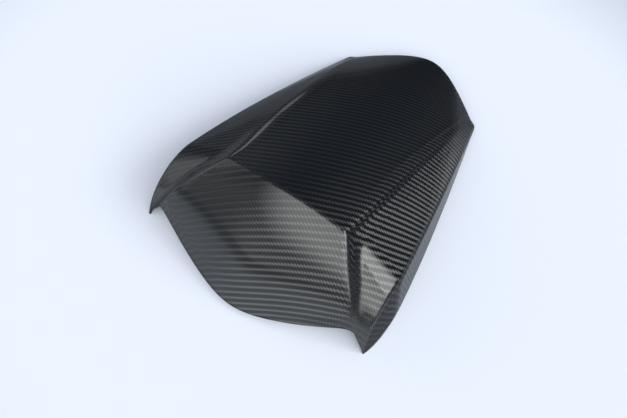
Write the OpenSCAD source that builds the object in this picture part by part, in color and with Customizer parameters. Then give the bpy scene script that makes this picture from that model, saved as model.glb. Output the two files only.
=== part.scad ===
// Seat cowl for a motorbike tail: one moulded laminate shell that covers the passenger seat.
// X runs across the cowl, +Y to the rear and +Z up. The origin lies under the middle of its
// outline, on the surface that it rests on.

/* [Overall] */
// Width over the side flanges, at their foot
cowl_w = 254; // [200:2:320]
// Length from the front tongue to the tail
cowl_l = 394; // [330:2:480]
// Height of the crest above the foot
cowl_h = 108; // [80:1:150]
// Thickness of the laminate
wall = 2; // [1.2:0.1:3]

/* [Front face] */
// Width of the crest between its two corners
crest_w = 121.5; // [90:0.5:150]
// Distance of the crest behind the front tips
crest_back = 35; // [20:1:60]
// How far the crest's corners lie below its middle
crest_crown = 9.5; // [2:0.5:16]
// How far the crest's corners lie behind its middle
crest_bow = 3.5; // [0:0.5:12]
// How far the tongue reaches in front of the tips
tongue_reach = 32.5; // [10:0.5:50]
// Height of the tongue's lower edge
tongue_rise = 6; // [3:0.5:20]
// Width of the face between its lower corners
face_w = 208; // [170:1:225]
// Height of the face's lower corners, before they are rounded
corner_rise = 34.5; // [20:0.5:44]
// Slope of the face at the crest, in degrees
face_top_slope = 38; // [25:1:46]
// Slope of the face at the tongue, in degrees
face_foot_slope = 69; // [60:1:80]
// Rounding of the tongue's nose, as a share of its half width
nose_round = 0.28; // [0.1:0.02:0.6]

/* [Side scoops] */
// Width of the step beside the face, at the crest
step_out = 10.5; // [6:0.5:16]
// Drop of the step beside the face, at the crest
step_drop = 11.5; // [8:0.5:18]
// How far the foot of the step lies behind the crest's corner
step_back = 9; // [3:0.5:14]
// How far back along the deck the step fades out, as a share of the deck's length
step_fade = 0.35; // [0.2:0.05:0.6]

/* [Side flanges] */
// Distance between the two front tips
tips_w = 243; // [232:1:300]
// Width over the shoulders
shoulder_w = 236.5; // [224:0.5:290]
// Height of the shoulders
shoulder_h = 58.5; // [40:0.5:72]
// Distance of the shoulders behind the tips
shoulder_back = 47; // [36:1:80]
// Width over the rear corners
tail_corner_w = 167.5; // [130:0.5:200]
// Height of the rear corners
tail_corner_h = 6; // [5:0.5:14]

/* [Deck] */
// Height of the tail's edge at its middle
tail_h = 14.5; // [11:0.5:26]
// How far the tail's middle lies behind the rear corners
tail_bow = 50.5; // [20:0.5:80]
// Rounding of the tail's outline at its middle, as a share of its half width
tail_round = 0.4; // [0.2:0.05:1]
// Width between the ridges, halfway along the deck
ridge_w = 132; // [110:1:150]
// How much the ridges lean out from the crest towards the tail
ridge_lean = 13.5; // [4:0.5:20]
// Slope of the deck behind the crest, in degrees
deck_front_slope = 11; // [4:0.5:14]
// Slope of the deck at the tail, in degrees
deck_tail_slope = 20; // [18:0.5:30]
// Bulge of the sides behind the scoops, as a share of their width
side_bulge = 0.03; // [0:0.005:0.06]
// How far the lip and the flanges lean out at their foot
foot_flare = 2; // [1:0.1:4]

/* [Rounded edges] */
// Rounding of the crest and of the face's side edges
edge_round = 3; // [2.5:0.1:5]
// Rounding of the cut edge between the tongue and the tips
corner_round = 16; // [6:0.5:20]
// Rounding of the two front tips
tip_round = 3.5; // [2.5:0.5:6]
// Rounding of the two ridges along the deck
ridge_round = 6; // [3:0.5:10]
// Rounding at the bottom of the step
valley_round = 6; // [3:0.5:8]
// Rounding of the folds between deck and flanges
fold_round = 4.5; // [3:0.5:8]
// Rounding across the shoulders
shoulder_round = 14; // [6:1:20]

/* [Hidden] */

carbon = [0.13, 0.14, 0.15];

// Places along the cowl, measured from the front tips
tail_y = cowl_l - tongue_reach - foot_flare;
tail_corner_y = tail_y - tail_bow;
crest_corner_y = crest_back + crest_bow;
origin_y = cowl_l / 2 - tongue_reach;

// Rows of the mesh on the face, over the crest, along the deck, over the tail's edge and down its lip
face_rows = 12;
crest_rows = 5;
deck_rows = 20;
tail_rows = 5;
lip_rows = 2;
// Columns on the face or deck, the step, the side facet and the flange, and round each edge
half_cols = [9, 1, 4, 3];
edge_cols = 3;

function mix(a, b, t) = a + (b - a) * t;
function smooth(t) = let (c = min(1, max(0, t))) c * c * (3 - 2 * c);
// Quadratic and cubic curves through their end points, pulled towards the points between
function curve2(p, t) = mix(mix(p[0], p[1], t), mix(p[1], p[2], t), t);
function curve3(p, t) = mix(curve2([p[0], p[1], p[2]], t), curve2([p[1], p[2], p[3]], t), t);

// Where two slopes meet, in a plane of [run, height]: the pull point of a profile
function slopes_meet(p, slope_p, q, slope_q) =
    let (run = (q[1] - p[1] - (q[0] - p[0]) * tan(slope_q)) / (tan(slope_p) - tan(slope_q)))
    [p[0] + run, p[1] + run * tan(slope_p)];

// Feature lines of one half, from the tongue to the crest as t goes from 0 to 1
crest_corner = [crest_w / 2, crest_corner_y, cowl_h - crest_crown];
shoulder = [shoulder_w / 2, shoulder_back, shoulder_h];
face_pull = slopes_meet([-tongue_reach, tongue_rise], face_foot_slope, [crest_back, cowl_h], face_top_slope);
function face_mid(t) =
    curve2([[0, -tongue_reach, tongue_rise], [0, face_pull[0], face_pull[1]], [0, crest_back, cowl_h]], t);
face_corner = [face_w / 2, -1, corner_rise];
edge_pull = [mix(face_corner[0], crest_corner[0], 0.43), 8.5, mix(corner_rise, crest_corner[2], 0.64)];
function face_edge(t) = curve2([face_corner, edge_pull, crest_corner], t);
fold_tip = [tips_w / 2 - 0.8, tip_round - 2.5, tip_round];
fold_pull_front = [shoulder[0] - 1.5, 2.5, shoulder_h - 6.5];
function front_fold(t) = curve2([fold_tip, fold_pull_front, shoulder], t);
widest = [cowl_w / 2, shoulder_back, 0];
function front_rim(t) = curve2([[tips_w / 2, tip_round / 2, 0], [cowl_w / 2, 0.34 * shoulder_back, 0], widest], t);

// The same lines from the crest to the tail, as t goes from 0 to 1
deck_pull = slopes_meet([crest_back, cowl_h], -deck_front_slope, [tail_y, tail_h], -deck_tail_slope);
function deck_mid(t) =
    curve2([[0, crest_back, cowl_h], [0, deck_pull[0], deck_pull[1]], [0, tail_y, tail_h]], t);
tail_corner = [tail_corner_w / 2, tail_corner_y, tail_corner_h];
ridge_end = tail_corner + [-8, 4, 1.5];
ridge_fall = crest_corner[2] - tail_corner_h;
ridge_run = tail_corner_y - crest_corner_y;
ridge_mid = (4 * ridge_w - crest_corner[0] - ridge_end[0]) / 6;
ridge_pull = [
    [ridge_mid - ridge_lean / 2, crest_corner_y + 0.255 * ridge_run, tail_corner_h + 0.87 * ridge_fall],
    [ridge_mid + ridge_lean / 2, crest_corner_y + 0.62 * ridge_run, tail_corner_h + 0.64 * ridge_fall]];
function ridge(t) = curve3([crest_corner, ridge_pull[0], ridge_pull[1], ridge_end], t);
fold_pull = [mix(shoulder[0], tail_corner[0], 0.3), mix(shoulder_back, tail_corner_y, 0.35),
    mix(tail_corner_h, shoulder_h, 0.9)];
function rear_fold(t) = curve2([shoulder, fold_pull, tail_corner], t);
rim_end = [tail_corner[0] + foot_flare, tail_corner_y - 10, 0];
rim_pull = [mix(cowl_w / 2, rim_end[0], 0.17), mix(shoulder_back, rim_end[1], 0.32), 0];
function rear_rim(t) = curve2([widest, rim_pull, rim_end], t);

// The bottom of the step: it leaves the face's edge at the crest and fades both ways, to a line that lies
// a share of the way from the edge to the fold
step = [step_out, step_back, -step_drop];
function step_line(edge, fold, depth, place) = edge + depth * step + (1 - depth) * place * (fold - edge);

// The five feature points of the section at t, which is 0 at the tongue, 1 at the crest and 2 at the tail
function section(t) =
    t <= 1 ? let (edge = face_edge(t), fold = front_fold(t))
        [face_mid(t), edge, step_line(edge, fold, smooth(t * 1.1), mix(0.5, 0.25, t)), fold, front_rim(t)]
    : let (s = t - 1, edge = ridge(s), fold = rear_fold(s))
        [deck_mid(s), edge, step_line(edge, fold, 1 - smooth(s / step_fade), 0.25), fold, rear_rim(s)];

// Across the face or the deck: a parabola, which turns into a blunt arrow towards the tongue and the tail
function arrow(u, round) = (sqrt(u * u + round * round) - round) / (sqrt(1 + round * round) - round);
function across(mid, edge, u, t) =
    let (bow = t <= 1 ? mix(arrow(u, nose_round), u * u, t) : mix(u * u, arrow(u, tail_round), t - 1))
    [edge[0] * u, mix(mid[1], edge[1], bow), mix(mid[2], edge[2], u * u)];

// The foot of the tail's lip, under each point of the tail's edge, and round the rear corner
lip_end = [tail_corner[0] - 5, tail_corner_y + foot_flare + 2, 0];
corner_foot = [tail_corner[0] + 0.3, tail_corner_y - 2, 0];
function lip_foot(w) =
    w <= 3 ? let (p = sharp(2, w), side = p[0] / tail_corner[0])
        [side * lip_end[0], p[1] + foot_flare + 2 * side * side, 0]
    : mix(lip_end, corner_foot, w - 3);

// Behind the scoops the sides bulge, square to the line from the ridge to the fold
function bulge(side, t, w) =
    let (u = w < 2 ? 0.25 * (w - 1) : 0.25 + 0.75 * (w - 2))
    w > 3 || t < 1 ? [0, 0, 0]
    : 4 * u * (1 - u) * side_bulge * smooth((t - 1) / step_fade) * [-side[2], 0, side[0]];

// The sharp surface: w is 0 at the middle, 1 at the ridge, 2 at the step's foot, 3 at the fold, 4 at the rim
function sharp(t, w) =
    t > 2 ? mix(sharp(2, w), lip_foot(w), t - 2)
    : let (p = section(t), k = min(3, floor(w)))
        k == 0 ? across(p[0], p[1], w, t) : mix(p[k], p[k + 1], w - k) + bulge(p[3] - p[1], t, w);

// Rounding of each feature line, and the share that it takes of the strip on each side, which leaves both
// roundings of a narrow strip some room
largest_share = 0.42;
function rounding(k, t) =
    k == 2 ? valley_round
    : k == 3 ? fold_round
    : t <= 1 ? mix(corner_round, edge_round, smooth(8 * t))
    : mix(edge_round, ridge_round, smooth(8 * (t - 1)));
function share(k, t, side) =
    let (p = section(min(t, 2)))
    min(largest_share, rounding(k, t) / norm(p[k] - p[k + side]));

// Columns: each is [strip, place] on a strip, or [line, place, 1] round a feature line
cols = [for (k = [0:3])
    each concat(k == 0 ? [] : [for (j = [0:edge_cols - 1]) [k, (j + 0.5) / edge_cols, 1]],
        [for (j = [0:half_cols[k]]) [k, j / half_cols[k], 0]])];
function col_point(t, col) =
    let (k = col[0])
    col[2] == 1 ? curve2([sharp(t, k - share(k, t, -1)), sharp(t, k), sharp(t, k + share(k, t, 1))], col[1])
    : sharp(t, mix(k + (k == 0 ? 0 : share(k, t, 1)), k + 1 - (k == 3 ? 0 : share(k + 1, t, -1)), col[1]));

// Rows: the crest and the tail's edge are rounded in the same way, along the cowl
function reach(col) = mix(edge_round, shoulder_round, smooth(col[0] - 1 + (col[2] == 1 ? 0 : col[1])));
function row_share(t0, t1, col, size) =
    min(largest_share, size / max(1, norm(col_point(t1, col) - col_point(t0, col))));
rows = concat(
    [for (i = [0:face_rows]) [0, i / face_rows]],
    [for (i = [0:crest_rows - 1]) [1, (i + 0.5) / crest_rows]],
    [for (i = [0:deck_rows]) [2, i / deck_rows]],
    [for (i = [0:tail_rows - 1]) [3, (i + 0.5) / tail_rows]],
    [for (i = [0:lip_rows]) [4, i / lip_rows]]);
function grid_point(row, col, shares) =
    let (zone = row[0], u = row[1])
    zone == 0 ? col_point(mix(0, 1 - shares[0], u), col)
    : zone == 1 ? curve2([col_point(1 - shares[0], col), col_point(1, col), col_point(1 + shares[1], col)], u)
    : zone == 2 ? col_point(mix(1 + shares[1], 2 - shares[2], u), col)
    : zone == 3 ? curve2([col_point(2 - shares[2], col), col_point(2, col), col_point(2 + shares[3], col)], u)
    : col_point(mix(2 + shares[3], 3, u), col);

half = [for (col = cols)
    let (shares = [row_share(0, 1, col, reach(col)), row_share(1, 2, col, reach(col)),
        row_share(1, 2, col, edge_round), row_share(2, 3, col, edge_round)])
    [for (row = rows) grid_point(row, col, shares)]];
n_half = len(half);
n_rows = len(rows);
n_cols = 2 * n_half - 1;
// The whole outer surface, from the left rim to the right one
outer = [for (i = [0:n_rows - 1]) [for (j = [-(n_half - 1):n_half - 1])
    let (p = half[abs(j)][i]) [sign(j) * p[0], p[1], p[2]]]];

// The inner surface lies one wall inside it, along the surface's own direction at each point. A point on
// the cut edge takes the direction of the point next to it inside the edge.
function toward(i, j) =
    let (n = cross(outer[i][j + 1] - outer[i][j - 1], outer[i + 1][j] - outer[i - 1][j])) n / norm(n);
function inside(k, count) = min(max(k, 1), count - 2);
function inner_point(i, j) =
    let (p = outer[i][j] - wall * toward(inside(i, n_rows), inside(j, n_cols)))
    i == n_rows - 1 || j == 0 || j == n_cols - 1 ? [p[0], p[1], 0] : [p[0], p[1], max(p[2], 0)];
inner = [for (i = [0:n_rows - 1]) [for (j = [0:n_cols - 1]) inner_point(i, j)]];

// One closed solid: both surfaces, and the strip of cut edge between them all the way round
n_side = n_rows * n_cols;
function at(i, j, side) = side * n_side + i * n_cols + j;
function quad(a, b, c, d) = [[a, d, c], [a, c, b]];
skins = [for (i = [0:n_rows - 2]) for (j = [0:n_cols - 2]) each concat(
    quad(at(i, j, 0), at(i + 1, j, 0), at(i + 1, j + 1, 0), at(i, j + 1, 0)),
    quad(at(i, j, 1), at(i, j + 1, 1), at(i + 1, j + 1, 1), at(i + 1, j, 1)))];
end_strips = [for (j = [0:n_cols - 2]) each concat(
    quad(at(0, j, 1), at(0, j, 0), at(0, j + 1, 0), at(0, j + 1, 1)),
    quad(at(n_rows - 1, j, 0), at(n_rows - 1, j, 1), at(n_rows - 1, j + 1, 1), at(n_rows - 1, j + 1, 0)))];
rim_strips = [for (i = [0:n_rows - 2]) each concat(
    quad(at(i, 0, 0), at(i, 0, 1), at(i + 1, 0, 1), at(i + 1, 0, 0)),
    quad(at(i, n_cols - 1, 1), at(i, n_cols - 1, 0), at(i + 1, n_cols - 1, 0), at(i + 1, n_cols - 1, 1)))];

module cowl_shell() {
    color(carbon)
        translate([0, -origin_y, 0])
            polyhedron(points = concat([for (r = outer) each r], [for (r = inner) each r]),
                faces = concat(skins, end_strips, rim_strips), convexity = 6);
}

cowl_shell();
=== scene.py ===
import math
from functools import partial

import bpy
import numpy as np
from mathutils import Matrix


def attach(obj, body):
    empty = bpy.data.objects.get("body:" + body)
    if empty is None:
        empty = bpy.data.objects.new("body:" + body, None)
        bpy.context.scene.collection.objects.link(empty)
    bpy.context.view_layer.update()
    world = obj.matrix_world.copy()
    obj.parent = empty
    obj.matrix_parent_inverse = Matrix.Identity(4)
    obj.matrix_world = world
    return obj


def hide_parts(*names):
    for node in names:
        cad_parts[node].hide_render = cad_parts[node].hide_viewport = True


# A motorbike seat cowl in glossy twill carbon: one moulded shell, drawn here finer than the solid,
# with its cloth, its clear coat and its raw inner side.

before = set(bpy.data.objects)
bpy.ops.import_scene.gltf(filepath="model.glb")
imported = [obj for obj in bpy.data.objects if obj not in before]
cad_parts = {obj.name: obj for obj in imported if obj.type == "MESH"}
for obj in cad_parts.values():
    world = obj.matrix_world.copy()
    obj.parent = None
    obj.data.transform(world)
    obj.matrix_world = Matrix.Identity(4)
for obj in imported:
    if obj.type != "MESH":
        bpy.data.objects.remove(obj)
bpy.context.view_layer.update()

mm = 0.001
clothUnit = 100.0    # millimetres of cloth to one unit of its UV map

# the cowl, called c below, in millimetres and degrees; places along it are measured back from the front tips
cowl = {
    "width": 254.0,                # over the side flanges, at their foot
    "length": 394.0,               # front tongue to the foot of the tail
    "height": 108.0,               # of the crest
    "wall": 2.0,
    "crestWidth": 121.5,
    "crestBack": 35.0,             # its middle
    "crestCrown": 9.5,             # its corners lie this much lower than its middle
    "crestBow": 3.5,               # and this much further back
    "tongueReach": 32.5,           # ahead of the tips
    "tongueRise": 6.0,             # of its lower edge
    "noseRound": 0.28,             # share of the tongue's half width
    "faceWidth": 208.0,            # between the lower corners of the face
    "cornerBack": -1.0,            # place of these corners
    "cornerRise": 34.5,            # and their height, before they are rounded
    "faceTopSlope": 38.0,
    "faceFootSlope": 69.0,
    "faceEdgePull": (0.43, 8.5, 0.64),    # share of the way in, place, share of the way up
    "step": (10.5, 9.0, -11.5),    # out, back and down from the face's edge, at the crest
    "stepGrowth": 1.1,             # by this factor it is full before the crest
    "stepFade": 0.35,              # share of the deck's length over which it fades
    "footPlace": (0.5, 0.25),      # faded, its foot is this share of the way to the fold: tongue, crest on
    "tipsWidth": 243.0,            # between the two front tips
    "foldTip": (-0.8, -2.5, 0.0),  # the fold's front end, from the end of the tip's rounding
    "frontFoldPull": (-1.5, 2.5, -6.5),    # out from the shoulder, place, up from the shoulder
    "frontRimPull": 0.34,          # share of the way back to the shoulder
    "shoulderWidth": 236.5,
    "shoulderHeight": 58.5,
    "shoulderBack": 47.0,
    "rearFoldPull": (0.3, 0.35, 0.1),      # shares of the way from the shoulder to the tail's corner
    "rearRimPull": (0.17, 0.32, 0.0),      # shares of the way from the widest place to the rim's end
    "rimEnd": 10.0,                # ahead of the tail's corner
    "tailCornerWidth": 167.5,
    "tailCornerHeight": 6.0,
    "tailHeight": 14.5,
    "tailBow": 50.5,               # from its corners back to its middle
    "tailRound": 0.4,              # share of the tail's half width
    "ridgeWidth": 132.0,           # halfway along the deck
    "ridgeLean": 13.5,             # outwards, from the crest to the tail
    "ridgePulls": ((0.255, 0.87), (0.62, 0.64)),    # shares of the deck's run done and of its fall to come
    "ridgeEnd": (-8.0, 4.0, 1.5),  # from the tail's corner
    "deckFrontSlope": 11.0,
    "deckTailSlope": 20.0,
    "sideBulge": 0.03,             # of the sides behind the scoops, as a share of their width
    "footFlare": 2.0,              # how far the lip and the flanges lean out at their foot
    "lipLean": 2.0,                # how much further the lip's foot lies back at the corner
    "lipEnd": 5.0,                 # inwards of the tail's corner
    "cornerFoot": (0.3, -2.0, 0.0),    # from the point below the tail's corner
    "cornerRound": 16.0,           # of the face's lower corners
    "edgeRound": 3.0,              # of the face's edges, the crest and the tail's edge
    "ridgeRound": 6.0,
    "valleyRound": 6.0,            # at the bottom of the step
    "foldRound": 4.5,
    "shoulderRound": 14.0,         # across the line that the crest starts, on the sides
    "tipRound": 3.5,
    "roundGrowth": 8.0,            # one rounding turns into the next over an eighth of the way
    "largestShare": 0.42,          # of a strip, that the rounding beside it takes
    # the mesh: rows on the face, crest, deck, tail edge and lip; columns on each strip and round each edge
    "rows": (44, 10, 76, 9, 6),
    "columns": (34, 5, 16, 14),
    "edgeColumns": 8,
}
tipsToMiddle = cowl["length"] / 2 - cowl["tongueReach"]    # the middle of the length lies at the origin


def mix(a, b, t):    # a + (b - a) t
    return a + (b - a) * t


def smoothStep(t):    # 3 c^2 - 2 c^3 with c = t held between 0 and 1
    c = np.clip(t, 0.0, 1.0)
    return c * c * (3.0 - 2.0 * c)


def pulledCurve(points, t):    # Bezier curve through its end points, by repeated mixing of neighbours
    layer = [np.asarray(p, float) for p in points]
    t = np.asarray(t, float)[..., None]
    while len(layer) > 1:
        layer = [mix(a, b, t) for a, b in zip(layer, layer[1:])]
    return layer[0]


def slopesMeet(p, slopeP, q, slopeQ):    # where two straight profiles of [run, height] cross
    tp, tq = math.tan(math.radians(slopeP)), math.tan(math.radians(slopeQ))
    run = (q[1] - p[1] - (q[0] - p[0]) * tq) / (tp - tq)
    return p[0] + run, p[1] + run * tp


def featureLines(c):
    # pull points of middle, edge or ridge, fold and rim on one half: front ones run from the tongue to the
    # crest, rear ones from the crest to the tail
    tailY = c["length"] - c["tongueReach"] - c["footFlare"]
    tailCornerY = tailY - c["tailBow"]
    crestCornerY = c["crestBack"] + c["crestBow"]
    crestMid = [0, c["crestBack"], c["height"]]
    crestCorner = np.array([c["crestWidth"] / 2, crestCornerY, c["height"] - c["crestCrown"]])
    shoulder = np.array([c["shoulderWidth"] / 2, c["shoulderBack"], c["shoulderHeight"]])
    tailCorner = np.array([c["tailCornerWidth"] / 2, tailCornerY, c["tailCornerHeight"]])
    widest = np.array([c["width"] / 2, c["shoulderBack"], 0])

    tongue = [0, -c["tongueReach"], c["tongueRise"]]
    facePull = slopesMeet(tongue[1:], c["faceFootSlope"], crestMid[1:], c["faceTopSlope"])
    faceCorner = np.array([c["faceWidth"] / 2, c["cornerBack"], c["cornerRise"]])
    inShare, edgeY, upShare = c["faceEdgePull"]
    edgePull = [mix(faceCorner[0], crestCorner[0], inShare), edgeY,
                mix(faceCorner[2], crestCorner[2], upShare)]
    foldTip = np.array([c["tipsWidth"] / 2, c["tipRound"], c["tipRound"]]) + c["foldTip"]
    foldPull = shoulder * [1, 0, 1] + c["frontFoldPull"]
    rimTip = [c["tipsWidth"] / 2, c["tipRound"] / 2, 0]
    rimPull = widest * [1, c["frontRimPull"], 1]
    front = [[tongue, [0, *facePull], crestMid], [faceCorner, edgePull, crestCorner],
             [foldTip, foldPull, shoulder], [rimTip, rimPull, widest]]

    tailMid = [0, tailY, c["tailHeight"]]
    deckPull = slopesMeet(crestMid[1:], -c["deckFrontSlope"], tailMid[1:], -c["deckTailSlope"])
    ridgeEnd = tailCorner + c["ridgeEnd"]
    # the middle of the ridge's two pull points, for its width halfway along
    ridgeMid = (4 * c["ridgeWidth"] - crestCorner[0] - ridgeEnd[0]) / 6
    run, fall = tailCornerY - crestCornerY, crestCorner[2] - tailCorner[2]
    leans = -c["ridgeLean"] / 2, c["ridgeLean"] / 2
    ridgePulls = [[ridgeMid + lean, crestCornerY + runShare * run, tailCorner[2] + fallShare * fall]
                  for lean, (runShare, fallShare) in zip(leans, c["ridgePulls"])]
    rimEnd = np.array([tailCorner[0] + c["footFlare"], tailCornerY - c["rimEnd"], 0])
    rear = [[crestMid, [0, *deckPull], tailMid], [crestCorner, *ridgePulls, ridgeEnd],
            [shoulder, mix(shoulder, tailCorner, np.array(c["rearFoldPull"])), tailCorner],
            [widest, mix(widest, rimEnd, np.array(c["rearRimPull"])), rimEnd]]
    return {"front": front, "rear": rear, "tailCorner": tailCorner,
            "lipEnd": np.array([tailCorner[0] - c["lipEnd"], tailCornerY + c["footFlare"] + c["lipLean"], 0]),
            "cornerFoot": tailCorner * [1, 1, 0] + c["cornerFoot"]}


def sections(c, lines, t):
    # the five feature points (middle, ridge, foot of the step, fold, rim) for every t; the foot is the edge
    # plus the step times its depth, and where the step has faded it lies a share of the way to the fold
    f, r = np.clip(t, 0, 1), np.clip(t - 1, 0, 1)
    isFront = (t <= 1)[..., None]
    mid, edge, fold, rim = [np.where(isFront, pulledCurve(a, f), pulledCurve(b, r))
                            for a, b in zip(lines["front"], lines["rear"])]
    growing, fading = smoothStep(f * c["stepGrowth"]), 1 - smoothStep(r / c["stepFade"])
    depth = np.where(isFront, growing[..., None], fading[..., None])
    place = mix(*c["footPlace"], f)[..., None]
    foot = edge + depth * np.array(c["step"]) + (1 - depth) * place * (fold - edge)
    return [mid, edge, foot, fold, rim]


def arrow(u, roundness):    # a hyperbola from 0 at the middle to 1 at the side, like a blunt arrow
    return (np.sqrt(u * u + roundness ** 2) - roundness) / (math.sqrt(1 + roundness ** 2) - roundness)


def middleStrip(c, mid, edge, t, u):
    # face and deck: a parabola across in height, and lengthways one that turns into an arrow at both ends
    bow = np.where(t <= 1, mix(arrow(u, c["noseRound"]), u * u, np.clip(t, 0, 1)),
                   mix(u * u, arrow(u, c["tailRound"]), np.clip(t - 1, 0, 1)))
    return np.stack([edge[..., 0] * u, mix(mid[..., 1], edge[..., 1], bow),
                     mix(mid[..., 2], edge[..., 2], u * u)], -1)


def sideBulge(c, p, t, w):
    # behind the scoops, a parabola square to the line from the ridge to the fold
    side = p[3] - p[1]
    square = np.stack([-side[..., 2], 0 * side[..., 2], side[..., 0]], -1)
    place = c["footPlace"][1]
    q = np.clip(np.where(w < 2, place * (w - 1), place + (1 - place) * (w - 2)), 0, 1)
    amount = c["sideBulge"] * 4 * q * (1 - q) * np.where(t > 1, smoothStep((t - 1) / c["stepFade"]), 0)
    return amount[..., None] * square


def lipFoot(c, lines, edge, w):
    # below the tail's edge, moved back by the flare and the lean times the side place squared; round the
    # rear corner it is straight
    side = edge[..., 0] / lines["tailCorner"][0]
    foot = np.stack([side * lines["lipEnd"][0], edge[..., 1] + c["footFlare"] + c["lipLean"] * side * side,
                     0 * side], -1)
    corner = mix(lines["lipEnd"], lines["cornerFoot"], (w - 3)[..., None])
    return np.where((w <= 3)[..., None], foot, corner)


def sharpSurface(c, lines, t, w):
    # straight between neighbouring feature lines, apart from the middle strip, the bulge and the lip;
    # w goes 0 middle, 1 ridge, 2 foot of the step, 3 fold, 4 rim; t goes 0 tongue, 1 crest, 2 tail, 3 lip
    t, w = np.broadcast_arrays(np.asarray(t, float), np.asarray(w, float))
    body = np.minimum(t, 2)
    p = sections(c, lines, body)
    out = middleStrip(c, p[0], p[1], t, np.clip(w, 0, 1))
    for k in (1, 2, 3):
        out = np.where((w >= k)[..., None], mix(p[k], p[k + 1], (w - k)[..., None]), out)
    out = out + sideBulge(c, p, body, w)
    return mix(out, lipFoot(c, lines, out, w), np.clip(t - 2, 0, 1)[..., None])


def lineShare(c, lines, t, k, side):
    # how much of the strip beside feature line k its rounding takes: its size over the strip's width
    p = sections(c, lines, np.minimum(t, 2))
    size = {1: np.where(t <= 1, mix(c["cornerRound"], c["edgeRound"], smoothStep(t * c["roundGrowth"])),
                        mix(c["edgeRound"], c["ridgeRound"], smoothStep((t - 1) * c["roundGrowth"]))),
            2: np.full_like(t, c["valleyRound"]), 3: np.full_like(t, c["foldRound"])}[k]
    return np.minimum(c["largestShare"], size / np.linalg.norm(p[k] - p[k + side], axis=-1))


def columnPoints(c, lines, column, t):
    # one column at every t: on a strip straight between two roundings, or on the pulled curve round a line
    k, place, isEdge = column
    t = np.atleast_1d(np.asarray(t, float))
    if isEdge:
        before = sharpSurface(c, lines, t, k - lineShare(c, lines, t, k, -1))
        after = sharpSurface(c, lines, t, k + lineShare(c, lines, t, k, 1))
        corner = sharpSurface(c, lines, t, np.full_like(t, k))
        return pulledCurve([before, corner, after], place)
    low = k + (0 if k == 0 else lineShare(c, lines, t, k, 1))
    high = k + 1 - (0 if k == 3 else lineShare(c, lines, t, k + 1, -1))
    return sharpSurface(c, lines, t, mix(low, high, place))


def columnList(c):
    # each is (strip, place, False) on a strip, or (line, place, True) round a feature line
    columns = []
    for k, count in enumerate(c["columns"]):
        if k:
            columns += [(k, (j + 0.5) / c["edgeColumns"], True) for j in range(c["edgeColumns"])]
        columns += [(k, j / count, False) for j in range(count + 1)]
    return columns


def outerHalf(c):
    # every column of one half, with a pulled curve across the crest and across the tail's edge
    lines = featureLines(c)
    face, deck, lip = [np.linspace(0, 1, count + 1) for count in c["rows"][::2]]
    crest, tail = [(np.arange(count) + 0.5) / count for count in c["rows"][1::2]]
    half = []
    for column in columnList(c):
        at = partial(columnPoints, c, lines, column)
        k, place, isEdge = column
        corners = [at(t)[0] for t in range(4)]
        spans = [np.linalg.norm(corners[j + 1] - corners[j]) for j in (0, 1, 1, 2)]
        reach = mix(c["edgeRound"], c["shoulderRound"], smoothStep(k - 1 + (0 if isEdge else place)))
        sizes = [reach, reach, c["edgeRound"], c["edgeRound"]]
        # the roundings take their size over the span, or over 1 mm where the span is less
        onFace, onFront, onRear, onLip = [min(c["largestShare"], size / max(1.0, span))
                                          for size, span in zip(sizes, spans)]
        half.append(np.concatenate([
            at(mix(0, 1 - onFace, face)),
            pulledCurve([at(1 - onFace)[0], corners[1], at(1 + onFront)[0]], crest),
            at(mix(1 + onFront, 2 - onRear, deck)),
            pulledCurve([at(2 - onRear)[0], corners[2], at(2 + onLip)[0]], tail),
            at(mix(2 + onLip, 3, lip))]))
    return np.stack(half, 1)    # rows, columns, xyz


def outwardDirections(p):
    # cross product of the central differences along and across the grid; the cut edge takes its neighbour's
    n = np.cross(p[1:-1, 2:] - p[1:-1, :-2], p[2:, 1:-1] - p[:-2, 1:-1])
    n /= np.linalg.norm(n, axis=-1, keepdims=True)
    return np.pad(n, ((1, 1), (1, 1), (0, 0)), mode="edge")


# how the cloth lies on the shell
cloth = {
    "turn": 14.0,                  # degrees, against the cowl's middle line
    "grid": (44, 26),              # rows and columns of one half that are laid flat, the rest lies between
    "sideFirmness": 0.3,           # of the cloth beyond the ridges, where 1 is the middle's
    "rounds": 60,                  # of turning the triangles and moving their points
    "weightLimits": (0.02, 20.0),  # that every cotangent is held between
}
otherCorners = ((1, 2), (2, 0), (0, 1))    # of a triangle: the ends of the side across from each corner


def ownPlanes(corner):
    # each triangle laid flat by itself with its first side along x, and twice its area
    side1, side2 = corner[:, 1] - corner[:, 0], corner[:, 2] - corner[:, 0]
    length = np.linalg.norm(side1, axis=-1)
    along = (side1 * side2).sum(-1) / length
    rise = np.linalg.norm(side2 - side1 * (along / length)[:, None], axis=-1)
    zero = np.zeros_like(length)
    return np.stack([zero, zero, length, zero, along, rise], -1).reshape(-1, 3, 2), length * rise


def cotangents(flat, area2, limits):
    # of the angle at each corner: the product of its two sides along each other over twice the area
    result = []
    for k, (i, j) in enumerate(otherCorners):
        u, v = flat[:, i] - flat[:, k], flat[:, j] - flat[:, k]
        result.append(np.clip((u * v).sum(-1) / area2, *limits))
    return result


def springMatrix(count, triangles, weights):
    # each side is a spring: its weight on both of its ends, and minus that between them
    matrix = np.zeros((count, count))
    for weight, (i, j) in zip(weights, otherCorners):
        i, j = triangles[:, i], triangles[:, j]
        for row, col, value in ((i, i, weight), (j, j, weight), (i, j, -weight), (j, i, -weight)):
            np.add.at(matrix, (row, col), value)
    return matrix


def solver(matrix, held):
    # the inverse of the springs' equations, where the held points stay at zero
    matrix = matrix.copy()
    matrix[held] = 0
    matrix[held, held] = 1
    return np.linalg.inv(matrix)


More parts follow.
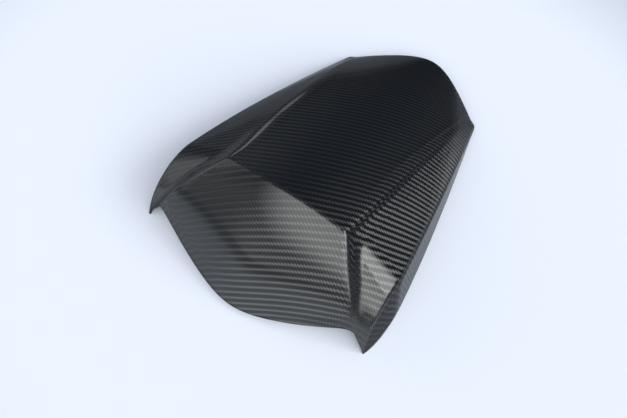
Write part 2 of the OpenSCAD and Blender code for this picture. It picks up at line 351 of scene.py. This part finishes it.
def bestTurns(flat, now, weights):
    # cosine and sine of each triangle's best turn, from the weighted products of its old and new sides
    cosine, sine = 0, 0
    for weight, (i, j) in zip(weights, otherCorners):
        old, new = flat[:, i] - flat[:, j], now[:, i] - now[:, j]
        cosine = cosine + weight * (old * new).sum(-1)
        sine = sine + weight * (old[:, 0] * new[:, 1] - old[:, 1] * new[:, 0])
    size = np.hypot(cosine, sine)
    return cosine / size, sine / size


def flattened(p, firm, s):
    # one half of the grid laid flat with the least stretch: in turn, each triangle takes the turn that fits
    # it best, and all points move to where the springs of their triangles want them; the weights are
    # cotangents times the share firm of the column, and the middle stays straight
    rows, cols = p.shape[:2]
    index = np.arange(rows * cols).reshape(rows, cols)
    a, b, d, e = [k.ravel() for k in (index[:-1, :-1], index[1:, :-1], index[1:, 1:], index[:-1, 1:])]
    triangles = np.concatenate([np.stack([a, e, d], -1), np.stack([a, d, b], -1)])
    flat, area2 = ownPlanes(p.reshape(-1, 3)[triangles])
    stiffness = firm[triangles % cols].mean(-1)
    weights = [stiffness * cotangent for cotangent in cotangents(flat, area2, s["weightLimits"])]
    matrix = springMatrix(rows * cols, triangles, weights)
    middle, first = index[:, 0], index[:1, 0]
    solveAcross, solveAlong = solver(matrix, middle), solver(matrix, first)
    # the start: lengths measured out from the middle, and along the middle from the tongue
    u = np.cumsum(np.linalg.norm(np.diff(p, axis=1, prepend=p[:, :1]), axis=-1), 1)
    v = np.cumsum(np.linalg.norm(np.diff(p[:, 0], axis=0, prepend=p[:1, 0]), axis=-1))[:, None] + 0 * u
    place = np.stack([u.ravel(), v.ravel()], -1)
    for _ in range(s["rounds"]):
        cosine, sine = bestTurns(flat, place[triangles], weights)
        wanted = np.zeros_like(place)
        for weight, (i, j) in zip(weights, otherCorners):
            x, y = (flat[:, i] - flat[:, j]).T
            pull = weight[:, None] * np.stack([cosine * x - sine * y, sine * x + cosine * y], -1)
            np.add.at(wanted, triangles[:, i], pull)
            np.add.at(wanted, triangles[:, j], -pull)
        wanted[middle, 0] = 0
        wanted[first, 1] = 0
        place = np.stack([solveAcross @ wanted[:, 0], solveAlong @ wanted[:, 1]], -1)
    return place.reshape(rows, cols, 2)


def filledIn(values, coarse, fine):
    # along the first axis, straight between the coarse places on each side of every fine one
    after = np.clip(np.searchsorted(coarse, fine, side="right"), 1, len(coarse) - 1)
    share = (fine - coarse[after - 1]) / (coarse[after] - coarse[after - 1])
    return mix(values[after - 1], values[after], share[:, None, None])


def clothPlan(c, s, half):
    # where each point of one half lies on the flat cloth; the sides beyond the ridges give way to the middle
    counts = half.shape[:2]
    picks = [np.unique(np.linspace(0, count - 1, few).round().astype(int))
             for count, few in zip(counts, s["grid"])]
    firm = np.array([1.0 if strip == 0 else s["sideFirmness"] for strip, place, isEdge in columnList(c)])
    plan = flattened(half[np.ix_(*picks)], firm[picks[1]], s)
    for pick, count in zip(picks, counts):
        plan = filledIn(plan, pick, np.arange(count)).swapaxes(0, 1)
    return plan


def bothHalves(half, sign):
    # the half times the sign in reverse order, then the half itself, with the middle column once
    return np.concatenate([half[:, :0:-1] * sign, half], 1)


def innerSide(c, outer):
    # one wall further in, square to the surface; the rim, the foot and all that would pass them lie at zero
    inner = outer - c["wall"] * outwardDirections(outer)
    inner[..., 2] = np.maximum(inner[..., 2], 0)
    inner[-1, :, 2] = 0
    inner[:, [0, -1], 2] = 0
    return inner


def shellFaces(rows, cols):
    # fours of neighbours on the outer side, the same turned over on the inner side, and the cut edge between
    count = rows * cols
    index = np.arange(count).reshape(rows, cols)
    outer = np.stack([index[:-1, :-1], index[:-1, 1:], index[1:, 1:], index[1:, :-1]], -1).reshape(-1, 4)
    cut = np.concatenate([np.stack([line[:-1], line[:-1] + count, line[1:] + count, line[1:]], -1)
                          for line in (index[0], index[-1, ::-1], index[::-1, 0], index[:, -1])])
    return outer, cut, outer[:, ::-1] + count


def addShell(c, s, name):
    # outer and inner side as one closed mesh around the origin, with the turned cloth as its UV map
    half = outerHalf(c)
    outer = bothHalves(half, [-1, 1, 1])
    rows, cols = outer.shape[:2]
    points = np.concatenate([outer.reshape(-1, 3), innerSide(c, outer).reshape(-1, 3)]) - [0, tipsToMiddle, 0]
    turn = math.radians(s["turn"])
    turning = np.array([[math.cos(turn), math.sin(turn)], [-math.sin(turn), math.cos(turn)]])
    plan = bothHalves(clothPlan(c, s, half), [-1, 1]) @ turning / clothUnit
    outerFaces, cutFaces, innerFaces = shellFaces(rows, cols)
    faces = np.concatenate([outerFaces, cutFaces, innerFaces])
    finishes = np.repeat([0, 1], [len(outerFaces) + len(cutFaces), len(innerFaces)])    # glossy, raw
    mesh = bpy.data.meshes.new(name)
    mesh.vertices.add(len(points))
    mesh.vertices.foreach_set("co", (points * mm).ravel())
    mesh.loops.add(faces.size)
    mesh.loops.foreach_set("vertex_index", faces.ravel())
    mesh.polygons.add(len(faces))
    mesh.polygons.foreach_set("loop_start", np.arange(0, faces.size, 4))
    mesh.polygons.foreach_set("material_index", finishes)
    mesh.update(calc_edges=True)
    mesh.validate()
    uv = np.concatenate([plan.reshape(-1, 2)] * 2)[faces.ravel()]
    mesh.uv_layers.new(name="cloth").data.foreach_set("uv", uv.ravel())
    mesh.polygons.foreach_set("use_smooth", np.ones(len(faces), bool))
    shell = bpy.data.objects.new(name, mesh)
    bpy.context.collection.objects.link(shell)
    print("shell:", rows, "rows,", cols, "columns,", 2 * len(faces), "triangles")
    return shell


shell = addShell(cowl, cloth, "cowl_shell_laminate")


# twill carbon under a clear coat
carbon = {
    "towWidth": 2.0,               # millimetres
    "acrossShineWithPaintedSheen": (0.120, 0.124, 0.118),    # what the fibres of the tows across the cowl reflect, with painted sheen: brighter than those along it, as if catching the light
    "lengthShineWithPaintedShade": (0.045, 0.047, 0.046),    # and those along it, with painted shade: darker than those across
    "gapShineAndPaintedShade": (0.008, 0.0085, 0.0095),     # and the dark gaps between them, which is also the painted shade that the tows darken to at their sides and where they dip under
    "hump": 0.6,                   # share of a tow's height that dips where it goes under
    "grain": (0.5, 14.0),          # of the fibres: spots to a tow's width along the tow, and across it
    "grainDetail": 2.0,
    "fibreRoughness": 0.46,
    "fibreStretch": 1.0,           # how much longer the highlight is across the fibres than along them
    "glancingTint": (0.4, 0.4, 0.42),    # of the fibres' shine at a glancing angle
    "relief": 0.05,                # millimetres
    # between two turns away from view, where 1 is edge-on, the gloss falls to a share, and then comes back
    "coatFade": (0.35, 0.70, 0.14),
    "coatReturn": (0.76, 0.90, 0.42),
    "coatRoughness": 0.03,
    "coatBend": 1.5,               # refractive index of the clear coat
}


class NodeMaker:    # short ways to add and join nodes
    def __init__(self, tree):
        self.tree = tree
        tree.nodes.clear()

    def add(self, kind, inputs=None, **settings):    # each input is a value, or the output that goes into it
        node = self.tree.nodes.new(kind)
        for key, value in settings.items():
            setattr(node, key, value)
        for key, value in (inputs or {}).items():
            if isinstance(value, bpy.types.NodeSocket):
                self.tree.links.new(value, node.inputs[key])
            else:
                node.inputs[key].default_value = value
        return node

    def math(self, operation, a, b=0.0):
        return self.add("ShaderNodeMath", {0: a, 1: b}, operation=operation).outputs[0]

    def mixValue(self, share, a, b):
        return self.add("ShaderNodeMix", {"Factor": share, "A": a, "B": b}, data_type="FLOAT").outputs[0]

    def mixColour(self, share, a, b, blend="MIX"):
        return self.add("ShaderNodeMix", {"Factor": share, "A": a, "B": b},
                        data_type="RGBA", blend_type=blend).outputs[2]

    def smoothStep(self, value, start, end, low=0.0, high=1.0):    # low before start, high after end
        return self.add("ShaderNodeMapRange", {"Value": value, "From Min": start, "From Max": end,
                                               "To Min": low, "To Max": high},
                        interpolation_type="SMOOTHSTEP").outputs[0]


def newMaterial(name):    # without nodes, and the maker of its nodes
    material = bpy.data.materials.new(name)
    material.use_nodes = True
    return material, NodeMaker(material.node_tree)


def towHeight(n, s, across, along):
    # a crown across the tow, the root of half a sine wave, times a hump along its float of two cells
    crown = n.math("POWER", n.math("SINE", n.math("MULTIPLY", across, math.pi)), 0.5)
    wave = n.math("SINE", n.math("MULTIPLY", along, math.pi / 2))
    hump = n.math("ADD", 1.0 - s["hump"], n.math("MULTIPLY", wave, s["hump"]))
    return n.math("MULTIPLY", crown, hump)


def fibreNoise(n, s, place, scale):
    # noise drawn out along the tow
    drawn = n.add("ShaderNodeMapping", {"Vector": place, "Scale": scale}).outputs[0]
    return n.add("ShaderNodeTexNoise", {"Vector": drawn, "Scale": 1.0, "Detail": s["grainDetail"]}).outputs[0]


def coatGloss(n, s):
    # the larger of two smooth steps: the gloss dips between a face-on and a glancing view, as through a
    # photographer's polarising filter
    facing = n.add("ShaderNodeLayerWeight", {"Blend": 0.5}).outputs["Facing"]
    (fadeStart, fadeEnd, low), (backStart, backEnd, high) = s["coatFade"], s["coatReturn"]
    return n.math("MAXIMUM", n.smoothStep(facing, fadeStart, fadeEnd, 1.0, low),
                  n.smoothStep(facing, backStart, backEnd, 0.0, high))


def carbonMaterial(s, name, isCoated):
    # in tow widths along the two sets of tows, floor gives the cell; the tow along y is on top where
    # (column - row) modulo 4 is below 2, which is a two by two twill
    material, n = newMaterial(name)
    uv = n.add("ShaderNodeUVMap", uv_map="cloth").outputs[0]
    scale = clothUnit / s["towWidth"]
    place = n.add("ShaderNodeMapping", {"Vector": uv, "Scale": (scale, scale, 1)}).outputs[0]
    x, y = n.add("ShaderNodeSeparateXYZ", {0: place}).outputs[:2]
    phase = n.math("FLOORED_MODULO", n.math("SUBTRACT", n.math("FLOOR", x), n.math("FLOOR", y)), 4.0)
    lengthwise = n.math("LESS_THAN", phase, 1.5)
    fx, fy = n.math("FRACT", x), n.math("FRACT", y)
    heightX = towHeight(n, s, fy, n.math("ADD", n.math("SUBTRACT", phase, 2.0), fx))
    heightY = towHeight(n, s, fx, n.math("ADD", n.math("SUBTRACT", 1.0, phase), fy))
    height = n.mixValue(lengthwise, heightX, heightY)
    along, across = s["grain"]
    fibre = n.mixValue(lengthwise, fibreNoise(n, s, place, (along, across, 1.0)),
                       fibreNoise(n, s, place, (across, along, 1.0)))
    # painted shade in the weave's hollows: the colour follows the tows' height, darker down their sides and
    # where they dip under, times the random grain
    grainAndPaintedShade = n.math("MULTIPLY", height, n.math("ADD", 0.5, fibre))
    # painted sheen and shade: the tows across are painted brighter than those along, where the light falls on
    # them
    shine = n.mixColour(lengthwise, (*s["acrossShineWithPaintedSheen"], 1), (*s["lengthShineWithPaintedShade"], 1))
    colour = n.mixColour(grainAndPaintedShade, (*s["gapShineAndPaintedShade"], 1), shine)
    bump = n.add("ShaderNodeBump", {"Height": height, "Distance": s["relief"] * mm, "Strength": 1.0})
    # the highlight runs across the fibres: a quarter turn from one set of tows to the other
    quarter = n.math("MULTIPLY", n.math("SUBTRACT", 1.0, lengthwise), 0.25)
    tangent = n.add("ShaderNodeTangent", direction_type="UV_MAP", uv_map="cloth")
    shader = n.add("ShaderNodeBsdfPrincipled", {
        "Base Color": colour, "Metallic": 1.0, "Specular Tint": (*s["glancingTint"], 1),
        "Roughness": s["fibreRoughness"], "Normal": bump.outputs[0],
        "Anisotropic": s["fibreStretch"], "Anisotropic Rotation": quarter, "Tangent": tangent.outputs[0],
        "Coat Weight": coatGloss(n, s) if isCoated else 0.0,
        "Coat Roughness": s["coatRoughness"], "Coat IOR": s["coatBend"]})
    n.add("ShaderNodeOutputMaterial", {"Surface": shader.outputs[0]})
    return material


outside = carbonMaterial(carbon, "carbon_twill_gloss", True)
inside = carbonMaterial(carbon, "carbon_twill_raw", False)
shell.data.materials.append(outside)
shell.data.materials.append(inside)
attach(shell, "root")
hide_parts("cowl_shell")
print("materials done")

# stage: a pale floor with painted shade that darkens it far from the object, a painted pool of light round
# the cowl, a dark room and soft windows in it
studio = {
    "floorSize": 8.0,              # metres
    "floorColour": (0.82, 0.87, 0.97),
    "farPaintedShade": (0.28, 0.30, 0.33),
    "paintedShadeFade": (0.34, 0.80),     # metres from the middle, over which the painted shade comes in
    "floorRoughness": 0.8,
    "floorGloss": 0.1,
    "roomColour": (0.11, 0.13, 0.17),
    # each window's bearing from the front towards +X, its height, the half widths of its core and of its
    # edge, all in degrees, and its light
    "windows": [
        (12.0, 46.0, 5.0, 39.0, 2.8),
        (105.0, 40.0, 0.0, 20.0, 5.1),
        (63.0, 33.0, 0.0, 32.0, 2.9),
        (5.0, 8.0, 10.0, 40.0, 0.5),
        (-42.0, 2.0, 10.0, 38.0, 0.35),
        (-85.0, 22.0, 0.0, 32.0, 0.8),
        (-138.0, 8.0, 1.0, 5.0, 1.5),
        (-144.0, 3.0, 1.0, 5.0, 1.5),
    ],
}


def floorMaterial(s):
    # a smooth step from the pale colour to the painted shade far away, by the distance from the middle
    material, n = newMaterial("pale_floor")
    place = n.add("ShaderNodeTexCoord").outputs["Object"]
    distance = n.add("ShaderNodeVectorMath", {0: place}, operation="LENGTH").outputs["Value"]
    far = n.smoothStep(distance, *s["paintedShadeFade"])
    colour = n.mixColour(far, (*s["floorColour"], 1), (*s["farPaintedShade"], 1))
    shader = n.add("ShaderNodeBsdfPrincipled", {"Base Color": colour, "Roughness": s["floorRoughness"],
                                                "Specular IOR Level": s["floorGloss"]})
    n.add("ShaderNodeOutputMaterial", {"Surface": shader.outputs[0]})
    return material


bpy.ops.mesh.primitive_plane_add(size=studio["floorSize"], location=(0, 0, 0))
floor = bpy.context.object
floor.name = "floor"
floor.data.materials.append(floorMaterial(studio))


def studioWorld(s):
    # the room's colour plus the windows, each a smooth step of the cosine between the view and its middle
    world = bpy.data.worlds.new("studio")
    world.use_nodes = True
    n = NodeMaker(world.node_tree)
    direction = n.add("ShaderNodeTexCoord").outputs["Generated"]
    light = 0.0
    for *angles, strength in s["windows"]:
        bearing, rise, core, edge = [math.radians(angle) for angle in angles]
        towards = (math.sin(bearing) * math.cos(rise), -math.cos(bearing) * math.cos(rise), math.sin(rise))
        closeness = n.add("ShaderNodeVectorMath", {0: direction, 1: towards}, operation="DOT_PRODUCT")
        glow = n.smoothStep(closeness.outputs["Value"], math.cos(edge), math.cos(core), 0.0, strength)
        light = n.math("ADD", glow, light)
    grey = n.add("ShaderNodeCombineColor", {0: light, 1: light, 2: light}).outputs[0]
    total = n.mixColour(1.0, grey, (*s["roomColour"], 1), blend="ADD")
    background = n.add("ShaderNodeBackground", {"Color": total, "Strength": 1.0})
    n.add("ShaderNodeOutputWorld", {"Surface": background.outputs[0]})
    return world


bpy.context.scene.world = studioWorld(studio)
print("floor and light done")

# camera: where the photograph was taken from, worked out from the symmetric outline
lens = {
    "place": (166.686, -290.840, 598.276),    # millimetres from the point between the tips
    "right": (0.82948, 0.54328, 0.12973),     # which way the picture's right and its foot point
    "down": (0.51110, -0.64458, -0.56859),
    "focal": 42.43,                # millimetres, on a sensor of this width
    "sensorWidth": 36.0,
}
camera = bpy.data.cameras.new("camera")
camera.lens = lens["focal"]
camera.sensor_width = lens["sensorWidth"]
camera.sensor_fit = "HORIZONTAL"
cameraObject = bpy.data.objects.new("camera", camera)
bpy.context.collection.objects.link(cameraObject)
right, up = np.array(lens["right"]), -np.array(lens["down"])
cameraObject.matrix_world = Matrix(np.column_stack([right, up, np.cross(right, up)])).to_4x4()
cameraObject.location = (np.array(lens["place"]) - [0, tipsToMiddle, 0]) * mm
bpy.context.scene.camera = cameraObject

bpy.context.scene.view_settings.view_transform = "Standard"
